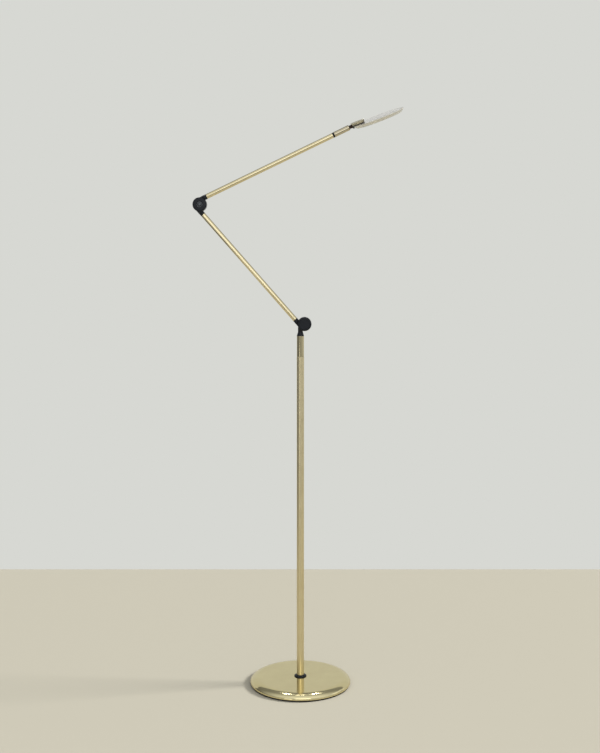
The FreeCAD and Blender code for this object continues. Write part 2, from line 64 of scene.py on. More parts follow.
# Foot and stem
stem_radius = 9.0
base_radius = 126.0
base_height = 18.8
base_flat_radius = 104.0
base_rim_top = 5.5
base_lip = 4.3
cover_wall = 1.5
inner_shoulder_ease = 0.5
lip_rounding = 0.6
pad_radius = 123.5
pad_height = 3.0
pad_bottom_rounding = 0.5
pad_top_rounding = 0.3
foot_ring_bore = stem_radius + 0.05
foot_ring_radius = 15.4
foot_ring_outline = [           # radius, height above the brass, rounding
    (foot_ring_bore, 0.0, 0), (foot_ring_radius, 0.0, 0.2), (foot_ring_radius, 1.8, 0.9),
    (foot_ring_radius - 3.2, 3.9, 1.2), (foot_ring_bore, 4.4, 0.4),
]
gland_height = 9.0
gland_radius = 3.2
gland_bore = 2.6
gland_length = 17.0
gland_proud = 1.5
gland_rounding = 0.8
gland_way = gland_radius + 0.02
gland_way_start = 100.0
gland_way_end = base_radius + 10
nipple_way = 5.3
stem_bore = 8.0
stem_top = 824.8
stem_rounding = 0.7
sleeve_radius = 8.75
sleeve_bottom = stem_top + 0.2
sleeve_top = 875.8
sleeve_rounding = 0.5

# Hinges
hinge_offset = 10.0
hinge_radius = 17.0
hinge_half = 11.5
rim_gap = 0.15
boss_gap = 0.5
channel_inner = 9.8
channel_outer = 13.6
channel_floor = 6.0
rim_rounding = 0.3
face_rounding = 3.0
pivot_bore = 3.08
pocket_radius = 7.8
pocket_rounding = 0.4
head_pocket_floor = 7.5
nut_pocket_floor = 5.0
cap_radius = 13.2
cap_thickness = 1.3
cap_rounding = 0.4
cap_seat_radius = cap_radius + 0.1
cap_seat_rounding = 0.15
neck_half = 6.0
neck_length = 23.5
neck_clearance = 19.5
neck_tip = 14.0
neck_waist = 3.4                # the neck is this much thicker than its end at its waist
neck_waist_corner = 4.0
neck_waist_place = 0.55         # share of the neck's length
neck_end_slack = 0.02           # its round end falls short of a half circle by this
neck_tail_slack = 0.01
neck_room_front = -hinge_half - 3
neck_room_half = 30.0
neck_room_bottom = -5.0
pivot_room_radius = channel_outer + 0.5
pivot_room_bottom = rim_gap - 0.01
spigot_radius = 4.95
spigot_start = neck_length + 0.05
spigot_end = neck_length + 14
collar_bottom = 876.05
collar_length = 10.0
journal_bottom = 852.8
journal_radius = 6.0
collar_outline = [              # radius, and how far below the collar's underside
    (8.5, -1.4), (8.9, -0.8), (8.9, -0.05), (8.8, 0.0), (journal_radius, 0.05),
]

# Pivot screw and its washer. Heights of the head are from its underside.
screw_radius = pivot_bore - 0.08
screw_tip = -hinge_half + 1.7
under_head = head_pocket_floor + 1.25
shank_end = under_head - 0.4
head_overlap = 0.5
head_edge = (5.4, 0, 0.25)      # radius, height and rounding
head_shoulder = (4.6, 1.9, 0.8)
head_top = (2.6, 2.6, 0.3)
key_width = 4.0
key_floor = 1.0
key_end = 4.0
washer_radius = 6.8
washer_bore = pivot_bore + 0.07
washer_top = head_pocket_floor + 1.2
washer_rounding = 0.15

# Arms, barrel and knuckle, along the axis of the upper arm from the elbow
arm_radius = 6.0
arm_bore = 5.0
arm_rounding = 0.2
upper_tube_end = 359.3
wire_way = 1.9
ring_spigot_start = upper_tube_end - 14
ring_spigot_radius = arm_bore - 0.05
ring_end = upper_tube_end + 4.0
ring_radius = 6.2
ring_rounding = 0.4
ring_journal_radius = 4.0
ring_journal_end = ring_end + 14.5
barrel_radius = 6.5
barrel_bore = 5.7
barrel_start = 363.6
barrel_end = 402.0
barrel_rounding = 0.35
nose_start = barrel_end - 1
nose_spigot_radius = barrel_bore - 0.05
nose_radius = barrel_radius - 0.2
nose_end = barrel_end + 0.9
nose_rounding = 0.8
knuckle_place = 407.0
knuckle_radius = 3.8
knuckle_rounding = knuckle_radius - 0.02
tongue_half = 2.3
tilt_pin_radius = 1.5
tongue_pin_hole = tilt_pin_radius + 0.06
cheek_inner = 2.7
cheek_outer = 5.4
cheek_pin_hole = tilt_pin_radius + 0.04
pin_hole_half = 9.0

# Head: x runs along the disc from the knuckle, z stands on the disc
head_rise = math.radians(21.1)
head_roll = math.radians(12)
disc_radius = 64.0
disc_centre = 69.3
disc_flat = 6.7
disc_top = -1.0
disc_low = disc_top - 8.0
disc_seat = disc_top - 5.0
disc_bevel = 7.0
disc_tip = disc_top - 1.2
disc_low_rounding = 1.2
disc_tip_rounding = 0.4
disc_top_rounding = 0.3
disc_lean = math.radians(-2.2)
disc_drop = 0.4
disc_cut_start = -20.0
disc_cut_half = 40.0
# The sawn faces this picks take the rim's beige tint, a painted reflection.
sawn_below = 0.9                # faces less in line with the head's up than this are sawn
holder_start = 2.8
holder_end = 35.2
holder_half = 12.0
holder_top = 6.5
holder_bottom = 1.2
holder_wall = 1.4
holder_ceiling = 4.9
holder_rounding = 2.6
holder_end_slack = 0.02         # its round end falls short of a half circle by this
holder_top_slack = 0.01
knuckle_room_half = 7.5
knuckle_room_depth = 2.0
knuckle_room_top = knuckle_radius + 0.5
plate_inset = 0.3
plate_bottom = -0.95
plate_notch = disc_flat + 0.3
notch_half = 20.0
plate_hole_low = -3.0
plate_hole_high = 3.0
clamp_screw_x = 24.0
clamp_screw_y = 6.0
clamp_hole = 1.35
countersink_radius = 3.0
countersink_neck = 1.3
countersink_depth = 1.6
sink_past = 0.1
fork_front = knuckle_radius + 0.4
fork_back = disc_flat - 1.3
fork_half = 11.5
fork_top = 0.2
fork_rounding = 0.15
fork_boss_top = knuckle_radius + 0.3
fork_tail_half = 4.2
fork_tail_end = 16.0
fork_overlap = 0.1

SHARP_ANGLE = math.radians(32)  # faces that meet more sharply than this show an edge

# Places and directions of the moving groups, from the frame's own joints
joints = {joint["name"]: joint for joint in frame["joints"]}
shoulder = Vector(joints["shoulder"]["pos_m"])
elbow = Vector(joints["elbow"]["pos_m"])
knuckle = Vector(joints["head_tilt"]["pos_m"])
upper_along = Vector(joints["head_swivel"]["axis"])
lower_along = (elbow - shoulder).normalized()
head_turn = Matrix.Rotation(head_roll, 3, upper_along)
head_up = head_turn @ Vector((-math.sin(head_rise), 0, math.cos(head_rise)))
head_side = head_turn @ Vector((0, 1, 0))
lower_lean = -math.atan2(-lower_along.x, lower_along.z)
upper_lean = math.atan2(upper_along.x, upper_along.z)


def stood(origin, along, front):
    """A place whose z runs along one direction and whose y looks along another."""
    across = front.cross(along)
    turn = Matrix((across, front, along)).transposed().to_4x4()
    return Matrix.Translation(origin) @ turn


FRONT = Vector((0, -1, 0))
BACK = Vector((0, 1, 0))
UP = Vector((0, 0, 1))
standing = Matrix.Identity(4)
turret_place = stood(shoulder, -UP, FRONT)
lower_place = stood(shoulder, lower_along, BACK)
elbow_lower_place = stood(elbow, -lower_along, FRONT)
upper_place = stood(elbow, upper_along, BACK)
beside = Matrix.Translation((-hinge_offset * MM, 0, 0))
lower_axis = lower_place @ beside
upper_axis = upper_place @ beside
barrel_axis = upper_axis @ Matrix.Rotation(head_roll, 4, "Z")
head_place = stood(knuckle, head_up, head_side)


# Shapes

def ring_edges(bm, radius, height):
    """The edges that go round Z at one radius and height."""
    found = []
    for edge in bm.edges:
        if all(abs(v.co.xy.length - radius) < SAME_EDGE and abs(v.co.z - height) < SAME_EDGE
               for v in edge.verts):
            found.append(edge)
    return found


def soften(bm, edges, width, segments=4):
    bmesh.ops.bevel(bm, geom=edges, offset=width, offset_type="OFFSET", segments=segments,
                    profile=0.5, affect="EDGES", material=-1, clamp_overlap=True)


def turned(outline, steps=TURN_STEPS, segments=4):
    """A closed outline of (radius, height, rounding) corners, turned about Z."""
    bm = bmesh.new()
    corners = [bm.verts.new((radius, 0, height)) for radius, height, _ in outline]
    for start, end in zip(corners, corners[1:] + corners[:1]):
        if start.co.x > 0 or end.co.x > 0:
            bm.edges.new((start, end))
    bmesh.ops.spin(bm, geom=bm.verts[:] + bm.edges[:], cent=(0, 0, 0), axis=(0, 0, 1),
                   angle=2 * math.pi, steps=steps, use_merge=True)
    bmesh.ops.remove_doubles(bm, verts=bm.verts, dist=SAME_POINT)
    bmesh.ops.recalc_face_normals(bm, faces=bm.faces)
    for radius, height, rounding in outline:
        if rounding:
            soften(bm, ring_edges(bm, radius, height), rounding, segments)
    return bm


def tube(outer, inner, low, high, rounding, steps=TURN_STEPS):
    return turned([(inner, low, 0), (outer, low, rounding), (outer, high, rounding),
                   (inner, high, 0)], steps)


def rod(radius, low, high, steps=TURN_STEPS):
    return turned([(0, low, 0), (radius, low, 0), (radius, high, 0), (0, high, 0)], steps)


def block(x, y, z, rounding=0.0):
    """A box from three (low, high) pairs. Its edges are softened if a rounding is given."""
    bm = bmesh.new()
    bmesh.ops.create_cube(bm, size=1)
    size = (x[1] - x[0], y[1] - y[0], z[1] - z[0])
    middle = ((x[0] + x[1]) / 2, (y[0] + y[1]) / 2, (z[0] + z[1]) / 2)
    bmesh.ops.scale(bm, vec=size, verts=bm.verts)
    bmesh.ops.translate(bm, vec=middle, verts=bm.verts)
    if rounding:
        soften(bm, bm.edges[:], rounding, 3)
    return bm


def hexagon(across_flats, low, high):
    """A six-sided prism that stands on Z."""
    corner = across_flats / math.sqrt(3)
    bm = bmesh.new()
    bmesh.ops.create_cone(bm, cap_ends=True, segments=6, radius1=corner, radius2=corner,
                          depth=high - low)
    bmesh.ops.translate(bm, vec=(0, 0, (low + high) / 2), verts=bm.verts)
    return bm


def moved(bm, place):
    bmesh.ops.transform(bm, matrix=place, verts=bm.verts)
    return bm


def laid_back(bm, x=0.0, z=0.0):
    """Turns what stands on Z so that it points along +Y, and moves it."""
    return moved(bm, Matrix.Translation((x, 0, z)) @ Matrix.Rotation(-math.pi / 2, 4, "X"))


def object_of(bm, name):
    mesh = bpy.data.meshes.new(name)
    bm.to_mesh(mesh)
    bm.free()
    piece = bpy.data.objects.new(name, mesh)
    bpy.context.scene.collection.objects.link(piece)
    return piece


def combined(first, second, operation):
    """One closed shape from two of them. The operation is UNION or DIFFERENCE."""
    body = object_of(first, "work")
    tool = object_of(second, "tool")
    modifier = body.modifiers.new("shape", "BOOLEAN")
    modifier.object = tool
    modifier.operation = operation
    modifier.solver = "EXACT"
    graph = bpy.context.evaluated_depsgraph_get()
    made = bpy.data.meshes.new_from_object(body.evaluated_get(graph))
    result = bmesh.new()
    result.from_mesh(made)
    for used in (body.data, tool.data, made):
        bpy.data.meshes.remove(used)
    bmesh.ops.remove_doubles(result, verts=result.verts, dist=SAME_POINT)
    bmesh.ops.dissolve_degenerate(result, edges=result.edges, dist=SAME_POINT)
    return result


def cut(body, *tools):
    for tool in tools:
        body = combined(body, tool, "DIFFERENCE")
    return body


def fused(body, *others):
    for other in others:
        body = combined(body, other, "UNION")
    return body


def oblong_ring(bm, half_x, half_y, corner, height):
    """A circle pulled apart into a rounded oblong."""
    made = bmesh.ops.create_circle(bm, segments=OBLONG_STEPS, radius=corner)
    for vert in made["verts"]:
        if abs(vert.co.x) > SAME_POINT:
            vert.co.x += math.copysign(half_x - corner, vert.co.x)
        if abs(vert.co.y) > SAME_POINT:
            vert.co.y += math.copysign(half_y - corner, vert.co.y)
        vert.co.z = height
    return made["verts"]


def lofted(rings):
    """A closed skin through rounded oblongs, each given as (half x, half y, corner, height)."""
    bm = bmesh.new()
    loops = [oblong_ring(bm, *ring) for ring in rings]
    for pair in zip(loops, loops[1:]):
        edges = [edge for loop in pair for edge in bm.edges if all(v in loop for v in edge.verts)]
        bmesh.ops.bridge_loops(bm, edges=edges)
    for loop in (loops[0], loops[-1]):
        bm.faces.new(loop)
    bmesh.ops.recalc_face_normals(bm, faces=bm.faces)
    return bm


# Finishing a piece

def finished(bm, name, place, body, material, node):
    """Writes a shape in metres at its place. It rides on a body and stands for its CAD node."""
    moved(bm, place @ Matrix.Scale(MM, 4))
    piece = object_of(bm, name)
    mesh = piece.data
    for polygon in mesh.polygons:
        polygon.use_smooth = True
    mesh.set_sharp_from_angle(angle=SHARP_ANGLE)
    mesh.materials.append(material)
    even = piece.modifiers.new("even shading", "WEIGHTED_NORMAL")
    even.keep_sharp = True
    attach(piece, body)
    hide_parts(node)
    return piece


# Effects that several materials share

def new_group(name, inputs, outputs):
    """An empty shader group with its named sockets, and its two end nodes."""
    group = bpy.data.node_groups.new(name, "ShaderNodeTree")
    for socket, kind, value in inputs:
        made = group.interface.new_socket(name=socket, in_out="INPUT", socket_type=kind)
        made.default_value = value
    for socket, kind in outputs:
        group.interface.new_socket(name=socket, in_out="OUTPUT", socket_type=kind)
    start = group.nodes.new("NodeGroupInput")
    end = group.nodes.new("NodeGroupOutput")
    return group, start, end


def brushed_grain_group():
    """Long fine streaks along one direction, as a finishing belt leaves them."""
    group, start, end = new_group(
        "Brushed grain",
        [("Turn", "NodeSocketVector", (0, 0, 0)), ("Stretch", "NodeSocketVector", (1, 1, 0.02)),
         ("Scale", "NodeSocketFloat", 2500.0)],
        [("Mask", "NodeSocketFloat"), ("Height", "NodeSocketFloat")])
    place = group.nodes.new("ShaderNodeTexCoord")
    turn = group.nodes.new("ShaderNodeMapping")
    stretch = group.nodes.new("ShaderNodeVectorMath")
    stretch.operation = "MULTIPLY"
    noise = group.nodes.new("ShaderNodeTexNoise")
    noise.inputs["Detail"].default_value = 3
    spread = group.nodes.new("ShaderNodeMapRange")
    spread.inputs["From Min"].default_value = 0.3
    spread.inputs["From Max"].default_value = 0.7
    link = group.links.new
    link(place.outputs["Object"], turn.inputs["Vector"])
    link(start.outputs["Turn"], turn.inputs["Rotation"])
    link(turn.outputs["Vector"], stretch.inputs[0])
    link(start.outputs["Stretch"], stretch.inputs[1])
    link(stretch.outputs["Vector"], noise.inputs["Vector"])
    link(start.outputs["Scale"], noise.inputs["Scale"])
    link(noise.outputs["Fac"], spread.inputs["Value"])
    link(spread.outputs["Result"], end.inputs["Mask"])
    link(noise.outputs["Fac"], end.inputs["Height"])
    return group


def handling_group():
    """Soft uneven patches, as hands and air leave them."""
    group, start, end = new_group(
        "Handling",
        [("Scale", "NodeSocketFloat", 30.0), ("Low", "NodeSocketFloat", 0.35),
         ("High", "NodeSocketFloat", 0.7)],
        [("Mask", "NodeSocketFloat")])
    place = group.nodes.new("ShaderNodeTexCoord")
    noise = group.nodes.new("ShaderNodeTexNoise")
    noise.inputs["Detail"].default_value = 5
    noise.inputs["Roughness"].default_value = 0.6
    spread = group.nodes.new("ShaderNodeMapRange")
    link = group.links.new
    link(place.outputs["Object"], noise.inputs["Vector"])
    link(start.outputs["Scale"], noise.inputs["Scale"])
    link(noise.outputs["Fac"], spread.inputs["Value"])
    link(start.outputs["Low"], spread.inputs["From Min"])
    link(start.outputs["High"], spread.inputs["From Max"])
    link(spread.outputs["Result"], end.inputs["Mask"])
    return group


def moulded_grain_group():
    """The even fine pebble of a spark-eroded mould."""
    group, start, end = new_group(
        "Moulded grain", [("Scale", "NodeSocketFloat", 1600.0)],
        [("Mask", "NodeSocketFloat"), ("Height", "NodeSocketFloat")])
    place = group.nodes.new("ShaderNodeTexCoord")
    pebble = group.nodes.new("ShaderNodeTexVoronoi")
    pebble.feature = "SMOOTH_F1"
    noise = group.nodes.new("ShaderNodeTexNoise")
    noise.inputs["Detail"].default_value = 2
    link = group.links.new
    link(place.outputs["Object"], pebble.inputs["Vector"])
    link(place.outputs["Object"], noise.inputs["Vector"])
    link(start.outputs["Scale"], pebble.inputs["Scale"])
    link(start.outputs["Scale"], noise.inputs["Scale"])
    link(noise.outputs["Fac"], end.inputs["Mask"])
    link(pebble.outputs["Distance"], end.inputs["Height"])
    return group


brushed_grain = brushed_grain_group()
handling = handling_group()
moulded_grain = moulded_grain_group()


class Finish:
    """A material in the making: its node tree, with short names for what is done to it."""

    def __init__(self, name):
        self.material = bpy.data.materials.new(name)
        self.material.use_nodes = True
        self.tree = self.material.node_tree
        self.surface = self.tree.nodes["Principled BSDF"]

    def set(self, **values):
        for socket, value in values.items():
            self.surface.inputs[socket.replace("_", " ")].default_value = value

    def node(self, kind):
        return self.tree.nodes.new(kind)

    def group(self, group, **values):
        node = self.node("ShaderNodeGroup")
        node.node_tree = group
        for socket, value in values.items():
            node.inputs[socket].default_value = value
        return node

    def link(self, output, target):
        self.tree.links.new(output, target)

    def blend(self, mask, low, high):
        """A colour between two, by a mask."""
        mix = self.node("ShaderNodeMix")
        mix.data_type = "RGBA"
        mix.inputs["A"].default_value = (*low, 1)
        mix.inputs["B"].default_value = (*high, 1)
        self.link(mask, mix.inputs["Factor"])
        return mix.outputs["Result"]

    def between(self, mask, low, high):
        """A number between two, by a mask."""
        spread = self.node("ShaderNodeMapRange")
        spread.inputs["To Min"].default_value = low
        spread.inputs["To Max"].default_value = high
        self.link(mask, spread.inputs["Value"])
        return spread.outputs["Result"]

    def coat(self, colour_mask, low, high, rough_mask, rough):
        """Colour and roughness, each between two values by a mask."""
        self.link(self.blend(colour_mask, low, high), self.surface.inputs["Base Color"])
        self.link(self.between(rough_mask, *rough), self.surface.inputs["Roughness"])

    def bump(self, height, depth, strength=1.0):
        node = self.node("ShaderNodeBump")
        node.inputs["Strength"].default_value = strength
        node.inputs["Distance"].default_value = depth
        self.link(height, node.inputs["Height"])
        self.link(node.outputs["Normal"], self.surface.inputs["Normal"])


def brass(name, low, high, rough, turn=0.0, stretch=(1, 1, 0.02), depth=4e-7):
    """Brass with fine streaks along one direction, slight tarnish and soft handling marks."""
    finish = Finish(name)
    finish.set(Metallic=1.0)
    grain = finish.group(brushed_grain, Turn=(0, turn, 0), Stretch=stretch)
    marks = finish.group(handling, Scale=26.0).outputs["Mask"]
    both = finish.node("ShaderNodeMath")
    both.operation = "MULTIPLY_ADD"
    both.inputs[1].default_value = 0.5
    finish.link(marks, both.inputs[0])
    finish.link(finish.between(grain.outputs["Mask"], 0.0, 0.5), both.inputs[2])
    finish.coat(marks, low, high, both.outputs["Value"], rough)
    finish.bump(grain.outputs["Height"], depth)
    return finish.material


def moulded(name, low, high, rough, depth=5e-6):
    """A moulded or cast surface with a fine even grain and a little wear."""
    finish = Finish(name)
    finish.set(Specular_IOR_Level=0.28)
    grain = finish.group(moulded_grain)
    marks = finish.group(handling, Scale=60.0).outputs["Mask"]
    finish.coat(marks, low, high, marks, rough)
    finish.bump(grain.outputs["Height"], depth, 0.6)
    return finish.material


def metal(name, low, high, rough):
    """Plated or plain metal with a fine even grain."""
    finish = Finish(name)
    finish.set(Metallic=1.0)
    grain = finish.group(brushed_grain, Scale=4000.0, Stretch=(1, 1, 1)).outputs["Mask"]
    marks = finish.group(handling, Scale=120.0).outputs["Mask"]
    finish.coat(marks, low, high, grain, rough)
    return finish.material


def clear_sheet(name, low, high, rough, clear):
    """Clear acrylic: a slight tint, a fine haze and soft handling marks."""
    finish = Finish(name)
    finish.set(IOR=1.49, Transmission_Weight=clear)
    marks = finish.group(handling, Scale=40.0).outputs["Mask"]
    finish.coat(marks, low, high, marks, rough)
    return finish.material


# Each has a name, its darkest and lightest colour, and its least and greatest roughness
stem_brass = brass("stem brass", (0.70, 0.60, 0.36), (0.75, 0.65, 0.41), (0.3, 0.38))
# A darker copy of the same brass: painted shade on the sleeve.
sleeve_brass_painted_shade = brass("sleeve brass painted shade", (0.54, 0.46, 0.27), (0.59, 0.51, 0.31), (0.08, 0.14),
                     depth=1e-7)
lower_brass = brass("lower arm brass", (0.71, 0.61, 0.37), (0.76, 0.66, 0.41), (0.13, 0.19),
                    turn=-lower_lean, stretch=(1, 1, 0.006), depth=2e-7)
upper_brass = brass("upper arm brass", (0.71, 0.61, 0.37), (0.76, 0.66, 0.41), (0.13, 0.19),
                    turn=-upper_lean, stretch=(1, 1, 0.006), depth=2e-7)
foot_brass = brass("foot brass", (0.69, 0.6, 0.34), (0.74, 0.65, 0.37), (0.09, 0.14),
                   stretch=(1, 0.05, 1), depth=2e-7)
# A darker copy of the same brass: painted shade on the barrel.
barrel_brass_painted_shade = brass("barrel brass painted shade", (0.5, 0.44, 0.3), (0.56, 0.49, 0.34), (0.08, 0.14),
                     turn=-upper_lean)
# A darker copy of the same brass: painted shade on the holder.
holder_brass_painted_shade = brass("holder brass painted shade", (0.42, 0.37, 0.24), (0.48, 0.42, 0.28), (0.2, 0.28),
                     turn=head_rise, stretch=(0.02, 1, 1))
black = moulded("black moulding", (0.004, 0.0055, 0.0085), (0.007, 0.009, 0.013), (0.3, 0.42))
rubber = moulded("rubber pad", (0.015, 0.015, 0.015), (0.025, 0.024, 0.023), (0.7, 0.85),
                 depth=3e-5)
iron = moulded("cast weight", (0.02, 0.019, 0.018), (0.035, 0.033, 0.03), (0.6, 0.75), depth=6e-5)
bronze = metal("dark bronze", (0.05, 0.035, 0.027), (0.09, 0.06, 0.045), (0.35, 0.5))
# The clamp plate is real; its dark brown is painted shade, the shadow line under the holder.
plate_painted_shade = moulded("clamp plate painted shade", (0.02, 0.017, 0.01), (0.035, 0.03, 0.018), (0.4, 0.55))
steel = metal("plated steel", (0.5, 0.51, 0.52), (0.6, 0.6, 0.61), (0.25, 0.4))
dark_steel = metal("blackened steel", (0.07, 0.075, 0.08), (0.11, 0.115, 0.12), (0.22, 0.34))
spreader = metal("sawn aluminium", (0.55, 0.56, 0.58), (0.65, 0.66, 0.68), (0.35, 0.5))
natural = moulded("natural plastic", (0.6, 0.59, 0.54), (0.68, 0.66, 0.6), (0.4, 0.5))
board = moulded("circuit board", (0.01, 0.08, 0.03), (0.015, 0.11, 0.04), (0.25, 0.35))
sheath = moulded("wire sheath", (0.03, 0.03, 0.03), (0.05, 0.05, 0.05), (0.45, 0.6))
acrylic = clear_sheet("clear acrylic", (0.88, 0.83, 0.83), (0.92, 0.87, 0.87), (0.02, 0.05), 0.85)
# The rim's beige tint is a painted reflection; its haze and roughness are the sawn edge's own.
sawn_rim_painted_reflection = clear_sheet("acrylic rim painted reflection", (0.92, 0.87, 0.71), (0.96, 0.91, 0.76), (0.25, 0.35), 0.3)


# Foot and stem

def make_base_cover():
    """Turned at a stretched height, so that a round bevel becomes the shoulder's flat curve."""
    stretch = (base_radius - base_flat_radius) / (base_height - base_rim_top)
    inner_radius = base_radius - cover_wall
    ceiling = base_height - cover_wall
    inner_shoulder = inner_radius - base_flat_radius - inner_shoulder_ease
    outline = [(nipple_way, ceiling, 0), (nipple_way, base_height, 0),
               (base_radius, base_height, base_radius - base_flat_radius),
               (base_radius, base_lip, 0), (inner_radius, base_lip, 0),
               (inner_radius, ceiling, inner_shoulder)]
    stretched = [(radius, height * stretch, rounding) for radius, height, rounding in outline]
    cover = turned(stretched, FOOT_STEPS, SHOULDER_SEGMENTS)
    moved(cover, Matrix.Scale(1 / stretch, 4, UP))
    soften(cover, ring_edges(cover, base_radius, base_lip), lip_rounding)
    way = rod(gland_way, gland_way_start, gland_way_end)
    cover = cut(cover, laid_back(way, 0, gland_height))
    finished(cover, "brass_base_cover", standing, "lamp_stand", foot_brass,
             "base_cover")


def make_base_pad():
    pad = turned([(0, 0, 0), (pad_radius, 0, pad_bottom_rounding),
                  (pad_radius, pad_height, pad_top_rounding), (0, pad_height, 0)], FOOT_STEPS)
    finished(pad, "rubber_base_pad", standing, "lamp_stand", rubber, "base_pad")


def make_foot_ring():
    """A low bush, thin at its edge and rising towards the stem."""
    ring = turned([(radius, base_height + height, rounding)
                   for radius, height, rounding in foot_ring_outline])
    finished(ring, "black_foot_ring", standing, "lamp_stand", black, "foot_ring")


def make_cord_gland():
    back = base_radius + gland_proud
    front = back - gland_length
    bush = turned([(gland_bore, front, 0), (gland_radius, front, 0),
                   (gland_radius, back, gland_rounding), (gland_bore, back, 0)], GLAND_STEPS)
    finished(laid_back(bush, 0, gland_height), "cord_gland_bush", standing, "lamp_stand", black,
             "cord_gland")


def make_stem():
    stem = turned([(stem_bore, base_height, 0), (stem_radius, base_height, 0),
                   (stem_radius, stem_top, stem_rounding), (stem_bore, stem_top, 0)])
    finished(stem, "brass_stem", standing, "lamp_stand", stem_brass, "stem_tube")
    sleeve = tube(sleeve_radius, stem_bore, sleeve_bottom, sleeve_top, sleeve_rounding)
    finished(sleeve, "brass_dimmer_sleeve", standing, "lamp_stand", sleeve_brass_painted_shade,
             "dimmer_sleeve")


# Hinges, each half in the place of its own arm with the half at y above zero

def hinge_disc(nut_side):
    """The round half with its pocket, its ring channel and its rounded outer edge."""
    outline = [(pivot_bore, boss_gap, 0), (channel_inner, boss_gap, 0),
               (channel_inner, channel_floor, 0), (channel_outer, channel_floor, 0),
               (channel_outer, rim_gap, 0), (hinge_radius, rim_gap, rim_rounding),
               (hinge_radius, hinge_half, face_rounding)]
    if nut_side:
        seat = hinge_half - cap_thickness
        outline += [(cap_seat_radius, hinge_half, cap_seat_rounding), (cap_seat_radius, seat, 0),
                    (pocket_radius, seat, 0), (pocket_radius, nut_pocket_floor, 0),
                    (pivot_bore, nut_pocket_floor, 0)]
    else:
        outline += [(pocket_radius, hinge_half, pocket_rounding),
                    (pocket_radius, head_pocket_floor, 0), (pivot_bore, head_pocket_floor, 0)]
    return laid_back(turned(outline))


def hinge_neck(length, tail):
    """From the full thickness of the hinge to the round end, and on through the tail."""
    rings = [(neck_half, hinge_half, face_rounding, 0),
             (neck_half, neck_half + neck_waist, neck_waist_corner, length * neck_waist_place),
             (neck_half, neck_half, neck_half - neck_end_slack, length)]
    rings += [(radius, radius, radius - neck_tail_slack, height) for radius, height in tail]
    neck = moved(lofted(rings), Matrix.Translation((-hinge_offset, 0, 0)))
    other_half = laid_back(rod(neck_clearance, neck_room_front, rim_gap))
    below_tip = block((-neck_room_half, neck_room_half), (neck_room_front, rim_gap),
                      (neck_room_bottom, neck_tip))
    pivot_room = laid_back(rod(pivot_room_radius, pivot_room_bottom, hinge_half + PAST))
    return cut(neck, other_half, below_tip, pivot_room)


def make_pivot_screw(name, place, body, node):
    """Its button head lies in the far half's pocket, so it points at y below zero."""
    rims = [(radius, under_head + height, rounding)
            for radius, height, rounding in (head_edge, head_shoulder, head_top)]
    neck = under_head - head_overlap
    head = turned([(0, neck, 0), (screw_radius, neck, 0), (screw_radius, under_head, 0), *rims,
                   (0, rims[-1][1], 0)], SCREW_STEPS)
    head = cut(head, hexagon(key_width, under_head + key_floor, under_head + key_end))
    shank = rod(screw_radius, screw_tip, shank_end, SHANK_STEPS)
    screw = fused(head, shank)
    finished(moved(screw, Matrix.Rotation(math.pi / 2, 4, "X")), name, place, body, dark_steel,
             node)


def make_washer(name, place, body, node):
    washer = tube(washer_radius, washer_bore, head_pocket_floor, washer_top, washer_rounding,
                  SCREW_STEPS)
    finished(laid_back(washer), name, place, body, dark_steel, node)


def make_cap(name, place, body, node):
    low = hinge_half - cap_thickness
    cap = turned([(0, low, 0), (cap_radius, low, 0), (cap_radius, hinge_half, cap_rounding),
                  (0, hinge_half, 0)])
    finished(laid_back(cap), name, place, body, black, node)


def make_hinges():
    spigot = [(spigot_radius, spigot_start), (spigot_radius, spigot_end)]
    height = shoulder.z / MM
    foot = height - collar_bottom
    collar = [(radius, foot + down) for radius, down in collar_outline]
    collar.append((journal_radius, height - journal_bottom))
    collar_neck = height - sleeve_top - collar_length
    for name, place, body, node, nut_side, length, tail in (
            ("black_shoulder_stem_half", turret_place, "arm_turret", "shoulder_stem_half", True,
             collar_neck, collar),
            ("black_shoulder_arm_half", lower_place, "lower_arm", "shoulder_arm_half", False,
             neck_length, spigot),
            ("black_elbow_lower_half", elbow_lower_place, "lower_arm", "elbow_lower_half", False,
             neck_length, spigot),
            ("black_elbow_upper_half", upper_place, "upper_arm", "elbow_upper_half", True,
             neck_length, spigot)):
        half = fused(hinge_disc(nut_side), hinge_neck(length, tail))
        finished(half, name, place, body, black, node)
    make_pivot_screw("shoulder_screw", turret_place, "arm_turret", "shoulder_pivot_screw")
    make_pivot_screw("elbow_screw", upper_place, "upper_arm", "elbow_pivot_screw")
    make_washer("shoulder_washer", lower_place, "lower_arm", "shoulder_head_washer")
    make_washer("elbow_washer", elbow_lower_place, "lower_arm", "elbow_head_washer")
    make_cap("black_shoulder_cap", turret_place, "arm_turret", "shoulder_cap")
    make_cap("black_elbow_cap", upper_place, "upper_arm", "elbow_cap")


# Arms and barrel

def make_arms():
    lower_end = (elbow - shoulder).length / MM - neck_length
    lower_tube = tube(arm_radius, arm_bore, neck_length, lower_end, arm_rounding)
    finished(lower_tube, "brass_lower_arm", lower_axis, "lower_arm", lower_brass,
             "lower_arm_tube")
    upper_tube = tube(arm_radius, arm_bore, neck_length, upper_tube_end, arm_rounding)
    finished(upper_tube, "brass_upper_arm", upper_axis, "upper_arm", upper_brass,
             "upper_arm_tube")


def make_swivel_ring():
    bush = turned([(wire_way, ring_spigot_start, 0), (ring_spigot_radius, ring_spigot_start, 0),
                   (ring_spigot_radius, upper_tube_end, 0),
                   (ring_radius, upper_tube_end, ring_rounding),
                   (ring_radius, ring_end, ring_rounding), (ring_journal_radius, ring_end, 0),
                   (ring_journal_radius, ring_journal_end, 0), (wire_way, ring_journal_end, 0)])
    finished(bush, "black_swivel_ring", upper_axis, "upper_arm", black,
             "head_swivel_bush")


